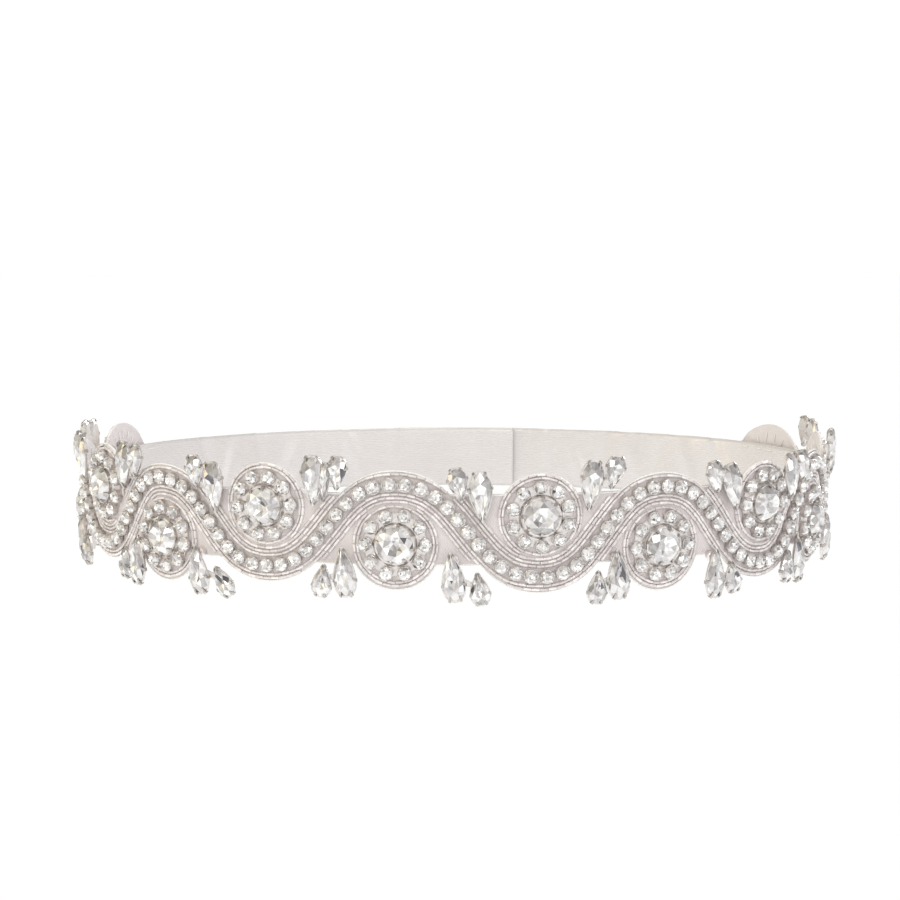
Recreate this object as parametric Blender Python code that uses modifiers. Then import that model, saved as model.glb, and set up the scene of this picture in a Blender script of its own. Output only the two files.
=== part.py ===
"""Bridal sash: a stone and bead applique sewn to a satin ribbon that closes round the waist.

Every piece is laid out flat, in millimetres, the way it is sewn: x runs along the band, y up across
it and z outwards. It is then wrapped on the waist, an oval ring that widens a little towards its top.
The ring's centre is the origin, +Z is up, and the middle of the applique faces -Y.
"""
import math
from collections import namedtuple

import bmesh
import bpy
import numpy as np
from mathutils import Matrix, Vector

COLLECTION = "bridal_sash"
MM = 0.001

# The waist ring, at the ribbon's inner face (mm)
WAIST_HALF_WIDTH = 109.1
WAIST_HALF_DEPTH = 88.6
FLARE = 0.045            # outwards for each mm up
GAP = 0.3                # between pieces that lie on each other

# Ribbon
RIBBON_WIDTH = 19.0
RIBBON_WALL = 1.0
RIBBON_COLUMNS = 104
LAP = 40.0               # how far the two ends lie over each other at the back
LAP_RAMP = 16.0          # length over which the upper end climbs on the lower one

# Net ground
NET_BACK = RIBBON_WALL + GAP
NET_WALL = 1.0
NET_FRONT = NET_BACK + NET_WALL
NET_COLUMN = 2.6
NOTCH_HEIGHT = 9.9       # edge of the net between two rosettes, above and below the middle
SCALLOP_NEAR = 12.5      # radius of the scallop round a rosette on its own edge
SCALLOP_FAR = 21.25      # radius round a rosette on the other edge, outside the chain
NET_DROP = 0.45          # the net lies this much lower than the middle of what it carries
END_ROUNDING = 7.0
END_SHARE = 0.45         # of the net's height that is left at its very ends

# What is sewn to the net starts here
SEWN = NET_FRONT + GAP

# Rosettes in order along the band: high and low in turn
Rosette = namedtuple("Rosette", "along up high")
ROSETTES = (
    Rosette(-192.0, 5.0, True),
    Rosette(-156.0, -5.2, False),
    Rosette(-120.7, 6.0, True),
    Rosette(-90.2, -6.0, False),
    Rosette(-54.6, 5.3, True),
    Rosette(-16.4, -4.6, False),
    Rosette(24.3, 3.2, True),
    Rosette(60.7, -6.5, False),
    Rosette(98.8, 2.8, True),
    Rosette(130.5, -5.5, False),
    Rosette(165.0, 5.0, True),
    Rosette(200.0, -5.0, False),
)
ROSETTE_PLATE = 10.4     # radius of the whole rosette
ROSETTE_PLATE_WALL = 1.0
CENTRE_STONE = 5.4       # radius
CENTRE_TABLE = 3.2
CENTRE_GIRDLE_UP = 1.9
CENTRE_STONE_UP = 3.8
RING_STONES = 10
RING_INNER = 5.9
RING_MIDDLE = 8.3
END_REACH = 17.5         # the applique ends this far past its outer rosettes

# Chain of small stones with bead rows on both sides
CHAIN_CLEARANCE = 17.0   # from a rosette's centre to the chain as it passes
CHAIN_FULLNESS = 0.06    # third harmonic that makes the waves rounder than a sine
CHAIN_PITCH = 4.5
CHAIN_CELL = 2.2         # half width of the row of stones
CHAIN_FLANK = 4.2        # half width with the bead rows
CHAIN_OFFSETS = (-CHAIN_FLANK, -CHAIN_CELL, 0.0, CHAIN_CELL, CHAIN_FLANK)
CHAIN_SPINE = CHAIN_OFFSETS.index(0.0)
CHAIN_WALL = 1.0
SMALL_STONE_TABLE = 1.25
SMALL_STONE_UP = 2.6
PATH_STEPS = 4000

# Pear stones: length, width
LARGE_PEAR = (14.0, 6.5)
SMALL_PEAR = (9.4, 5.6)
SLIM_PEAR = (11.0, 3.2)
STONE_SIDES = 8
STONE_BACK = SEWN + CHAIN_WALL + GAP + 0.1
STONE_PAVILION = 0.9     # from the back of the setting up to the girdle
STONE_CROWN = 1.6        # from the girdle up to the table
STONE_BACK_SHARE = 0.82  # of the girdle's outline
STONE_TABLE_SHARE = 0.5
TIE_WIDTH = 2.4          # joins the settings of a cluster
TIE_START = 0.25
TIE_WALL = 1.0
FOOT_RADIUS = 1.8        # stands a cluster on the net, between the bead rows
FOOT_SIDES = 6
FOOT_INTO_STONE = 0.5
FOOT_INSET = 4.8         # from the large stone's middle towards its pointed end
FOOT_LEAST_UP = 8.5
FOOT_NEAR = (2.1, 4.0)   # keeps it clear of the chain and of the rosette

# A cluster sits in each notch of the net, midway between two rosettes: a large pear beside the rosette
# on the same edge, and a small one on the other side of the notch. The columns give how far each
# stone's middle lies from the notch's middle, its height above or below the band's middle, and the
# angle at which its outer end leans away from that rosette. Notches are numbered from the one nearest
# the middle of the band.
Cluster = namedtuple("Cluster", "notch edge large_near large_up large_lean small_far small_up small_lean")
CLUSTERS = (
    Cluster(-3, "top", 0.3, 13.2, 4.0, 5.6, 14.9, 4.0),
    Cluster(-2, "top", 2.5, 9.8, 6.7, 3.7, 13.8, 9.0),
    Cluster(-1, "top", 3.7, 13.1, 0.0, 3.4, 15.4, 3.0),
    Cluster(0, "top", 3.4, 9.1, 4.4, 2.8, 12.6, 12.0),
    Cluster(1, "top", 4.4, 11.7, 6.5, 2.2, 15.2, 12.0),
    Cluster(2, "top", 4.0, 8.7, 14.0, 2.7, 12.1, 14.0),
    Cluster(3, "top", 5.0, 9.6, -6.0, 1.2, 12.0, 0.0),
    Cluster(-3, "bottom", 4.9, 14.0, 2.0, 1.3, 15.2, 6.0),
    Cluster(-2, "bottom", 3.8, 14.3, 7.0, 4.8, 17.1, 30.0),
    Cluster(-1, "bottom", 5.0, 12.4, -5.0, 1.4, 15.0, 8.0),
    Cluster(0, "bottom", 4.2, 13.4, 6.0, 3.1, 16.7, 9.0),
    Cluster(1, "bottom", 3.9, 13.7, -4.0, 2.2, 17.1, 3.0),
    Cluster(2, "bottom", 1.6, 15.6, 1.0, 5.1, 17.2, 12.0),
    Cluster(3, "bottom", 1.4, 15.2, -6.0, 5.3, 16.8, 6.0),
)
PLAIN_CLUSTER = Cluster(None, None, 3.7, 12.3, 4.0, 3.0, 15.0, 8.0)
# One cluster has a slim third stone between its two pears
SLIM_STONE_PLACE = (-1, "top")
SLIM_STONE_NEAR = 0.2
SLIM_STONE_UP = 12.7
SLIM_STONE_LEAN = 4.0

RING_TURNS = 1.3         # the arc table runs past a whole turn, for the lap
RING_SAMPLES = 8000

# colour, roughness, metallic
SATIN = ((0.93, 0.92, 0.90), 0.42, 0.0)
NET = ((0.80, 0.77, 0.75), 0.8, 0.0)
SILVER_BEADS = ((0.82, 0.81, 0.80), 0.3, 0.5)
CRYSTAL = ((0.90, 0.90, 0.91), 0.08, 0.3)


def ring_point(angle):
    """Point of the ribbon's inner face at an angle from the front, and the outward direction there."""
    x = WAIST_HALF_WIDTH * np.sin(angle)
    y = -WAIST_HALF_DEPTH * np.cos(angle)
    out_x = np.sin(angle) / WAIST_HALF_WIDTH
    out_y = -np.cos(angle) / WAIST_HALF_DEPTH
    size = np.hypot(out_x, out_y)
    return x, y, out_x / size, out_y / size


def ring_table():
    """Angles from the front, and the length along the net's face from the front to each of them."""
    angle = np.linspace(-math.pi * RING_TURNS, math.pi * RING_TURNS, RING_SAMPLES + 1)
    x, y, out_x, out_y = ring_point(angle)
    step = np.hypot(np.diff(x + NET_FRONT * out_x), np.diff(y + NET_FRONT * out_y))
    length = np.concatenate(([0.0], np.cumsum(step)))
    return angle, length - np.interp(0.0, angle, length)


RING_ANGLE, RING_LENGTH = ring_table()
ROUND_WAIST = 2.0 * float(np.interp(math.pi, RING_ANGLE, RING_LENGTH))


def wrap(point):
    """Carry a flat point (along, up, out) in mm to its place round the waist, in metres."""
    x, y, out_x, out_y = ring_point(float(np.interp(point.x, RING_LENGTH, RING_ANGLE)))
    out = point.z + FLARE * point.y
    return Vector((x + out * out_x, y + out * out_y, point.y)) * MM


def band_ends():
    return ROSETTES[0].along - END_REACH, ROSETTES[-1].along + END_REACH


def chain_height(along):
    """Height of the chain's middle line, which passes under high rosettes and over low ones."""
    start, end = band_ends()
    turns = [(r.along, r.up - CHAIN_CLEARANCE if r.high else r.up + CHAIN_CLEARANCE) for r in ROSETTES]
    turns.insert(0, (2.0 * start - turns[0][0], -turns[0][1]))
    turns.append((2.0 * end - turns[-1][0], -turns[-1][1]))
    (x0, y0), (x1, y1) = next(pair for pair in zip(turns, turns[1:]) if along <= pair[1][0])
    phase = math.pi * (along - x0) / (x1 - x0)
    swing = (math.cos(phase) - CHAIN_FULLNESS * math.cos(3.0 * phase)) / (1.0 - CHAIN_FULLNESS)
    return 0.5 * (y0 + y1) + 0.5 * (y0 - y1) * swing


def chain_stations():
    """Evenly spaced points on the chain's middle line, between its stones, each with its normal."""
    xs = np.linspace(*band_ends(), PATH_STEPS + 1)
    ys = np.array([chain_height(x) for x in xs])
    length = np.concatenate(([0.0], np.cumsum(np.hypot(np.diff(xs), np.diff(ys)))))
    stops = np.linspace(0.0, length[-1], round(length[-1] / CHAIN_PITCH) + 1)
    px = np.interp(stops, length, xs)
    py = np.interp(stops, length, ys)
    ahead_x = np.gradient(px)
    ahead_y = np.gradient(py)
    size = np.hypot(ahead_x, ahead_y)
    return [(Vector(point), Vector(across))
            for point, across in zip(zip(px, py), zip(-ahead_y / size, ahead_x / size))]


def net_edge(along, side):
    """Height of the net's top (side 1) or bottom (side -1) edge: scallops with notches between."""
    height = NOTCH_HEIGHT
    for rosette in ROSETTES:
        radius = SCALLOP_NEAR if rosette.high == (side > 0) else SCALLOP_FAR
        reach = radius ** 2 - (along - rosette.along) ** 2
        if reach > 0.0:
            height = max(height, side * rosette.up + math.sqrt(reach))
    start, end = band_ends()
    inside = min(along - start, end - along, END_ROUNDING) / END_ROUNDING
    rounding = math.sqrt(max(0.0, 1.0 - (1.0 - inside) ** 2))
    return side * height * (END_SHARE + (1.0 - END_SHARE) * rounding) - NET_DROP


def material(name, colour, roughness, metallic):
    made = bpy.data.materials.new(name)
    made.use_nodes = True
    shader = made.node_tree.nodes["Principled BSDF"]
    shader.inputs["Base Color"].default_value = (*colour, 1.0)
    shader.inputs["Roughness"].default_value = roughness
    shader.inputs["Metallic"].default_value = metallic
    return made


def mesh_from(name, bm):
    mesh = bpy.data.meshes.new(name)
    bm.to_mesh(mesh)
    bm.free()
    return mesh


def wear(name, mesh, look):
    """Wrap a flat piece on the waist and put it in the sash's collection."""
    for vertex in mesh.vertices:
        vertex.co = wrap(vertex.co)
    mesh.materials.clear()
    mesh.materials.append(material(name, *look))
    obj = bpy.data.objects.new(name, mesh)
    bpy.data.collections[COLLECTION].objects.link(obj)
    return obj


def thicken(obj, wall):
    """Give a worn open sheet its wall, built outwards."""
    solid = obj.modifiers.new("wall", "SOLIDIFY")
    solid.thickness = wall * MM
    solid.offset = 1.0
    solid.use_even_offset = True


def smooth_step(value):
    value = min(max(value, 0.0), 1.0)
    return value * value * (3.0 - 2.0 * value)


def build_ribbon():
    """The ribbon round the waist. One end climbs on the other and lies over it at the back."""
    bm = bmesh.new()
    bmesh.ops.create_grid(bm, x_segments=RIBBON_COLUMNS, y_segments=1, size=0.5)
    climb_start = 0.5 * (ROUND_WAIST - LAP) - LAP_RAMP
    for vertex in bm.verts:
        along = vertex.co.x * (ROUND_WAIST + LAP)
        climb = smooth_step((along - climb_start) / LAP_RAMP)
        vertex.co = (along, vertex.co.y * RIBBON_WIDTH, climb * (RIBBON_WALL + GAP))
    thicken(wear("ribbon", mesh_from("ribbon", bm), SATIN), RIBBON_WALL)


def build_net_ground():
    """The net strip behind all the stones and beads, with scallops along both edges."""
    start, end = band_ends()
    bm = bmesh.new()
    bmesh.ops.create_grid(bm, x_segments=round((end - start) / NET_COLUMN), y_segments=1, size=0.5)
    for vertex in bm.verts:
        along = start + (vertex.co.x + 0.5) * (end - start)
        side = 1 if vertex.co.y > 0.0 else -1
        vertex.co = (along, net_edge(along, side), NET_BACK)
    thicken(wear("net_ground", mesh_from("net_ground", bm), NET), NET_WALL)


def raise_stones(bm):
    """Draw each six-cornered face of a wall up to a small stone with a round table."""
    cells = [face for face in bm.faces if len(face.verts) == 6]
    bmesh.ops.inset_individual(bm, faces=cells, thickness=0.1)
    for cell in cells:
        middle = cell.calc_center_median()
        for vertex in cell.verts:
            away = (vertex.co - middle).normalized() * SMALL_STONE_TABLE
            vertex.co = (middle.x + away.x, middle.y + away.y, SEWN + SMALL_STONE_UP)


def build_stone_chain():
    """The wall of couched bead rows, with the chain's stones raised along its middle."""
    stations = chain_stations()
    cells = len(stations) - 1
    rows = len(CHAIN_OFFSETS) - 1
    bm = bmesh.new()
    bmesh.ops.create_grid(bm, x_segments=cells, y_segments=rows, size=0.5)
    row_of = bm.verts.layers.int.new("row")
    for vertex in bm.verts:
        middle, across = stations[round((vertex.co.x + 0.5) * cells)]
        row = round((vertex.co.y + 0.5) * rows)
        vertex[row_of] = row
        vertex.co = (*(middle + across * CHAIN_OFFSETS[row]), SEWN)
    extruded = bmesh.ops.extrude_face_region(bm, geom=list(bm.faces))["geom"]
    fronts = {item for item in extruded if isinstance(item, bmesh.types.BMVert)}
    bmesh.ops.translate(bm, verts=list(fronts), vec=(0.0, 0.0, CHAIN_WALL))
    bmesh.ops.recalc_face_normals(bm, faces=list(bm.faces))
    spine = [edge for edge in bm.edges
             if all(vertex in fronts and vertex[row_of] == CHAIN_SPINE for vertex in edge.verts)]
    bmesh.ops.dissolve_edges(bm, edges=spine)
    raise_stones(bm)
    wear("stone_chain", mesh_from("stone_chain", bm), SILVER_BEADS)


def build_rosette(name, rosette):
    """A plate turned about its own middle, with one centre stone and a ring of small stones."""
    profile = (
        (0.0, 0.0),
        (RING_INNER, 0.0),
        (ROSETTE_PLATE, 0.0),
        (ROSETTE_PLATE, ROSETTE_PLATE_WALL),
        (RING_MIDDLE, ROSETTE_PLATE_WALL),
        (RING_INNER, ROSETTE_PLATE_WALL),
        (CENTRE_STONE, CENTRE_GIRDLE_UP),
        (CENTRE_TABLE, CENTRE_STONE_UP),
        (0.0, CENTRE_STONE_UP),
    )
    bm = bmesh.new()
    points = [bm.verts.new((radius, 0.0, SEWN + up)) for radius, up in profile]
    edges = [bm.edges.new(pair) for pair in zip(points, points[1:])]
    bmesh.ops.spin(bm, geom=points + edges, cent=(0.0, 0.0, 0.0), axis=(0.0, 0.0, 1.0),
                   angle=2.0 * math.pi, steps=RING_STONES)
    bmesh.ops.remove_doubles(bm, verts=list(bm.verts), dist=0.01)
    bmesh.ops.recalc_face_normals(bm, faces=list(bm.faces))
    middle_ring = [edge for edge in bm.edges
                   if all(abs(vertex.co.xy.length - RING_MIDDLE) < 0.01 for vertex in edge.verts)]
    bmesh.ops.dissolve_edges(bm, edges=middle_ring)
    raise_stones(bm)
    bmesh.ops.translate(bm, verts=list(bm.verts), vec=(rosette.along, rosette.up, 0.0))
    wear(name, mesh_from(name, bm), CRYSTAL)


def pear_point(turn, share, length, width):
    """A point of a pear outline, at a turn from its pointed end, which is down."""
    widest = 0.7698      # of sin(t) sin(t / 2)
    return (0.5 * share * width * math.sin(turn) * math.sin(0.5 * turn) / widest,
            -0.5 * share * length * math.cos(turn))


def pear_stone(size, along, up, turned):
    """A pear-shaped stone in its setting: a tapered back, a girdle and a smaller table."""
    bm = bmesh.new()
    cone = bmesh.ops.create_cone(bm, cap_ends=True, segments=STONE_SIDES, radius1=1.0,
                                 radius2=STONE_TABLE_SHARE, depth=STONE_CROWN)
    bmesh.ops.translate(bm, verts=cone["verts"], vec=(0.0, 0.0, STONE_PAVILION + 0.5 * STONE_CROWN))
    girdle = min(bm.faces, key=lambda face: face.calc_center_median().z)
    back = bmesh.ops.extrude_discrete_faces(bm, faces=[girdle])["faces"][0]
    for vertex in back.verts:
        vertex.co = (vertex.co.x * STONE_BACK_SHARE, vertex.co.y * STONE_BACK_SHARE, 0.0)
    for vertex in bm.verts:
        turn = math.atan2(vertex.co.x, -vertex.co.y) % (2.0 * math.pi)
        vertex.co.xy = pear_point(turn, vertex.co.xy.length, *size)
    place = Matrix.Translation((along, up, STONE_BACK)) @ Matrix.Rotation(turned, 4, "Z")
    bmesh.ops.transform(bm, matrix=place, verts=list(bm.verts))
    bmesh.ops.recalc_face_normals(bm, faces=list(bm.faces))
    return bm


def tie_bar(start, end):
    """The bar that joins the settings of two stones."""
    run = Vector(end) - Vector(start)
    middle = (Vector(start) + Vector(end)) * 0.5
    bm = bmesh.new()
    bmesh.ops.create_cube(bm, size=1.0)
    bmesh.ops.scale(bm, verts=list(bm.verts), vec=(run.length, TIE_WIDTH, TIE_WALL))
    bmesh.ops.rotate(bm, verts=list(bm.verts), matrix=Matrix.Rotation(math.atan2(run.y, run.x), 3, "Z"))
    level = STONE_BACK + TIE_START + 0.5 * TIE_WALL
    bmesh.ops.translate(bm, verts=list(bm.verts), vec=(middle.x, middle.y, level))
    return bm


def foot(along, up):
    """The foot that carries a cluster, from the net up into the back of its large stone."""
    height = STONE_BACK + FOOT_INTO_STONE - SEWN
    bm = bmesh.new()
    bmesh.ops.create_cone(bm, cap_ends=True, segments=FOOT_SIDES, radius1=FOOT_RADIUS,
                          radius2=FOOT_RADIUS, depth=height)
    bmesh.ops.translate(bm, verts=list(bm.verts), vec=(along, up, SEWN + 0.5 * height))
    return bm


def join(name, pieces):
    """One closed mesh from overlapping closed pieces, by Boolean union."""
    work = bpy.data.collections["workpieces"]
    objects = [bpy.data.objects.new(name + "_piece", mesh_from(name, bm)) for bm in pieces]
    for obj in objects:
        obj.hide_render = True
        obj.display_type = "WIRE"
        work.objects.link(obj)
    base = objects[0]
    for other in objects[1:]:
        union = base.modifiers.new("union", "BOOLEAN")
        union.operation = "UNION"
        union.solver = "EXACT"
        union.object = other
    joined = bpy.data.meshes.new_from_object(base.evaluated_get(bpy.context.evaluated_depsgraph_get()))
    joined.name = name
    for obj in objects:
        bpy.data.objects.remove(obj)
    return joined


def build_cluster(name, notch, edge, middle, toward):
    """The stones in one notch. toward is 1 or -1, the way along to the rosette on the same edge."""
    row = next((c for c in CLUSTERS if (c.notch, c.edge) == (notch, edge)), PLAIN_CLUSTER)
    side = 1 if edge == "top" else -1

    def place(near, up):
        return middle + toward * near, side * up

    def turned(lean):
        outward = 0.0 if edge == "top" else math.pi
        return outward + math.radians(side * toward * lean)

    large = place(row.large_near, row.large_up)
    small = place(-row.small_far, row.small_up)
    inset = min(FOOT_INSET, row.large_up - FOOT_LEAST_UP)
    lean = math.radians(row.large_lean)
    under_near = min(max(row.large_near + inset * math.sin(lean), FOOT_NEAR[0]), FOOT_NEAR[1])
    under = place(under_near, row.large_up - inset * math.cos(lean))
    pieces = [
        pear_stone(LARGE_PEAR, *large, turned(row.large_lean)),
        pear_stone(SMALL_PEAR, *small, turned(row.small_lean)),
        tie_bar(large, small),
        foot(*under),
    ]
    if (notch, edge) == SLIM_STONE_PLACE:
        slim = place(SLIM_STONE_NEAR, SLIM_STONE_UP)
        pieces.append(pear_stone(SLIM_PEAR, *slim, turned(SLIM_STONE_LEAN)))
    wear(name, join(name, pieces), CRYSTAL)


def build_clusters():
    notches = list(zip(ROSETTES, ROSETTES[1:]))
    middles = [0.5 * (before.along + after.along) for before, after in notches]
    nearest = min(range(len(middles)), key=lambda i: abs(middles[i]))
    for i, (before, after) in enumerate(notches):
        for edge in ("top", "bottom"):
            toward = 1 if after.high == (edge == "top") else -1
            build_cluster(f"cluster_{edge}_{i + 1:02d}", i - nearest, edge, middles[i], toward)


def build_sash():
    for obj in list(bpy.data.objects):
        bpy.data.objects.remove(obj)
    for name in (COLLECTION, "workpieces"):
        bpy.context.scene.collection.children.link(bpy.data.collections.new(name))
    build_ribbon()
    build_net_ground()
    build_stone_chain()
    for number, rosette in enumerate(ROSETTES, start=1):
        build_rosette(f"rosette_{number:02d}", rosette)
    build_clusters()


build_sash()
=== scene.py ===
"""The looks of the bridal sash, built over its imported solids.

As in the part, every piece is laid out flat in millimetres, the way it is sewn: x runs along the band,
y up across it and z outwards. It is then wrapped on the waist, an oval ring round the origin whose
front faces -Y.
"""

import math
from collections import namedtuple

import bpy
import numpy as np
from mathutils import Matrix, Vector


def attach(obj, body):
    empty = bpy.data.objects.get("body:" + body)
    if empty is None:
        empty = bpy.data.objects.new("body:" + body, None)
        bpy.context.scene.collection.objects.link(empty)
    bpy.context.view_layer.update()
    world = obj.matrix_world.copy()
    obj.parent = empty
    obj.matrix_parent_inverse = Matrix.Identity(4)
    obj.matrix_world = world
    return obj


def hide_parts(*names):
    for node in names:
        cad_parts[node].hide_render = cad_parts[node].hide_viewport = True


MM = 0.001
CHANCE = np.random.default_rng(11)  # small differences between beads and between stones

# The part's layout (mm)
WAIST_HALF_WIDTH = 109.1
WAIST_HALF_DEPTH = 88.6
FLARE = 0.045  # outwards, for each mm up
RIBBON_WIDTH = 19.0
RIBBON_WALL = 1.0
LAP = 40.0
LAP_RAMP = 16.0  # where the ribbon's outer end climbs over the inner one
GAP = 0.3
NET_FRONT = 2.3  # the net's outer face, from the ring's inner face
NOTCH_HEIGHT = 9.9
SCALLOP_NEAR = 12.5  # radius round the rosettes that stand at this edge
SCALLOP_FAR = 21.25  # and round the others
NET_DROP = 0.45
END_ROUNDING = 7.0
END_SHARE = 0.45
END_REACH = 17.5
CHAIN_CLEARANCE = 17.0  # from a rosette's middle to the chain's
CHAIN_FULLNESS = 0.06
CHAIN_PITCH = 4.5
RING_TURNS = 1.3
RING_SAMPLES = 8000
PATH_STEPS = 4000

Rosette = namedtuple("Rosette", "along up high")
ROSETTES = tuple(Rosette(*row) for row in (
    (-192.0, 5.0, True), (-156.0, -5.2, False), (-120.7, 6.0, True), (-90.2, -6.0, False),
    (-54.6, 5.3, True), (-16.4, -4.6, False), (24.3, 3.2, True), (60.7, -6.5, False),
    (98.8, 2.8, True), (130.5, -5.5, False), (165.0, 5.0, True), (200.0, -5.0, False),
))

# Clusters, by notch and edge: how far the large pear stands from the notch's middle, towards the rosette
# at its own edge, and the small one away from it, and each one's height and lean (degrees)
Cluster = namedtuple("Cluster", "notch edge large_near large_up large_lean small_far small_up small_lean")
CLUSTERS = tuple(Cluster(*row) for row in (
    (-3, "top", 0.3, 13.2, 4.0, 5.6, 14.9, 4.0),
    (-2, "top", 2.5, 9.8, 6.7, 3.7, 13.8, 9.0),
    (-1, "top", 3.7, 13.1, 0.0, 3.4, 15.4, 3.0),
    (0, "top", 3.4, 9.1, 4.4, 2.8, 12.6, 12.0),
    (1, "top", 4.4, 11.7, 6.5, 2.2, 15.2, 12.0),
    (2, "top", 4.0, 8.7, 14.0, 2.7, 12.1, 14.0),
    (3, "top", 5.0, 9.6, -6.0, 1.2, 12.0, 0.0),
    (-3, "bottom", 4.9, 14.0, 2.0, 1.3, 15.2, 6.0),
    (-2, "bottom", 3.8, 14.3, 7.0, 4.8, 17.1, 30.0),
    (-1, "bottom", 5.0, 12.4, -5.0, 1.4, 15.0, 8.0),
    (0, "bottom", 4.2, 13.4, 6.0, 3.1, 16.7, 9.0),
    (1, "bottom", 3.9, 13.7, -4.0, 2.2, 17.1, 3.0),
    (2, "bottom", 1.6, 15.6, 1.0, 5.1, 17.2, 12.0),
    (3, "bottom", 1.4, 15.2, -6.0, 5.3, 16.8, 6.0),
))
PLAIN_CLUSTER = Cluster(None, None, 3.7, 12.3, 4.0, 3.0, 15.0, 8.0)
SLIM_STONE_PLACE = (-1, "top")
SLIM_STONE_NEAR = 0.2
SLIM_STONE_UP = 12.7
SLIM_STONE_LEAN = 4.0
LARGE_PEAR = (14.0, 6.5)
SMALL_PEAR = (9.4, 5.6)
SLIM_PEAR = (11.0, 3.2)
FOOT_RADIUS = 1.5
FOOT_INSET = 4.8
FOOT_LEAST_UP = 8.5
FOOT_NEAR = (2.1, 4.0)

# Looks (mm)
STONE_SEAT = 2.5  # where the small stones' cups stand
CENTRE_SEAT = 2.6
PEAR_SEAT = 4.0
CHAIN_STONE = 1.94  # radius
RING_STONE = 1.92
RING_STONES = 10
RING_MIDDLE = 8.3  # from the rosette's middle
CENTRE_STONE = 5.25
SIZE_SPREAD = (0.97, 1.03)  # of the small stones
PEAR_WIDEST = 0.7698  # half the width of a pear outline before it is scaled
PLATE_EDGE = 9.3
PLATE_WAVE = 0.5
LINK_HALVES = (1.1, 0.55, 0.18)  # of the links in the chain
LINK_LEVEL = NET_FRONT + 0.35
TIE_WIDTH = 1.6  # of the bar between two pears
BEAD_RADIUS = 0.43
BEAD_PITCH = 2.4
BEAD_LEVEL = NET_FRONT + 0.22
BEAD_SHARES = (0.42, 0.36, 0.22)  # clear beads, and copies with a painted glint and with painted shade, drawn at random
CHAIN_ROWS = (2.78, 3.84, 4.9)  # from the chain's middle line, on both sides
ARC_ROWS = (10.75, 11.7)  # round each rosette
CHAIN_WINDOW = 260  # points of the chain's line to both sides, about 28 mm
CLOTH_WALL = 0.6
RIBBON_FACE = RIBBON_WALL - 0.15  # level of the ribbon's outer face
FLOAT_PITCH = 0.36  # of the satin's threads
SELVEDGE = 0.8
NET_MESH = 0.78
NET_SLOPE = 0.62  # of its threads
STITCH_RADIUS = 0.13
INNER_STITCH = -0.12  # rise of the stitches on the net's inner face
RING_STITCH = (RING_MIDDLE - 1.3, RING_MIDDLE + 1.4)  # its ends, from the rosette's middle
CENTRE_STITCH = (2.6, 5.4)
SHARDS = 700.0  # to a metre of glass

# Slots of a stone's mesh: its setting, its facets from light to dark, whose tones are painted reflection, its
# claws, darkened with painted shade, and its plate
METAL, WHITE, PALE, SOFT, GREY, DEEP, CLAW, PLATE = range(8)

# Kinds of facets: round the girdle, on the crown, and what shows through the table at its edge and middle
GIRDLE, CROWN, TABLE, HEART = range(4)
OUTER = (GIRDLE, CROWN)
INNER = (TABLE, HEART)

# Facets that stay lighter or darker than their neighbours, as painted reflection and painted shade: the way
# they lie from the stone's middle (degrees clockwise from up), their kinds and slot
MARK_REACH = 34.0  # degrees to both sides
# Often used marks: a grey or soft top of painted shade, and a white tip or side of painted highlight
GREY_CAP, SOFT_CAP = (0, OUTER, GREY), (0, OUTER, SOFT)
WHITE_TIP, WHITE_SIDE = (180, INNER, WHITE), (200, INNER, WHITE)
# Marks of the large and of the small pear, by notch and edge: painted reflection and painted shade on their
# facets
FACET_MARKS = {
    (-3, "top"): ((GREY_CAP, WHITE_SIDE), (SOFT_CAP,)),
    (-2, "top"): ((GREY_CAP, (10, INNER, DEEP), (180, INNER, PALE)), (GREY_CAP, (240, INNER, WHITE))),
    (-1, "top"): (((20, OUTER, SOFT), (320, OUTER, GREY), (60, INNER, SOFT), WHITE_SIDE),
                  (SOFT_CAP, (80, OUTER, DEEP), WHITE_TIP)),
    (0, "top"): (((40, OUTER, GREY), (320, OUTER, WHITE), (330, INNER, WHITE), (170, INNER, WHITE)),
                 (GREY_CAP, WHITE_TIP)),
    (1, "top"): ((GREY_CAP, (300, OUTER, PALE), (270, INNER, WHITE), (60, INNER, SOFT)),
                 ((20, OUTER, GREY), (190, INNER, WHITE))),
    (2, "top"): ((GREY_CAP, (0, INNER, SOFT), (180, INNER, SOFT)), (GREY_CAP, WHITE_TIP)),
    (3, "top"): ((SOFT_CAP, (0, INNER, SOFT), (270, OUTER, GREY)), (GREY_CAP,)),
    (-3, "bottom"): ((SOFT_CAP, WHITE_TIP), ((180, INNER, PALE),)),
    (-2, "bottom"): (((0, INNER, GREY), WHITE_SIDE), ((340, INNER, DEEP), (180, INNER, PALE))),
    (-1, "bottom"): ((GREY_CAP, WHITE_TIP, (90, INNER, WHITE)), (GREY_CAP, WHITE_TIP)),
    (0, "bottom"): (((310, OUTER, WHITE), (90, INNER, SOFT)), ((0, INNER, GREY), (180, INNER, SOFT))),
    (1, "bottom"): (((60, INNER, DEEP), (95, INNER, DEEP), (90, OUTER, WHITE), (270, INNER, SOFT)),
                    ((60, INNER, DEEP), (270, INNER, SOFT))),
    (2, "bottom"): (((0, INNER, SOFT), (80, INNER, GREY), (180, INNER, PALE)),
                    ((45, INNER, DEEP), (120, INNER, WHITE), (270, INNER, SOFT))),
    (3, "bottom"): (((20, OUTER, GREY),), (GREY_CAP,)),
}
# Pears with no marks of their own: painted shade on the tops of those at the top edge
PLAIN_MARKS = {"top": ((GREY_CAP,), (SOFT_CAP,)), "bottom": ((), ())}
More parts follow.
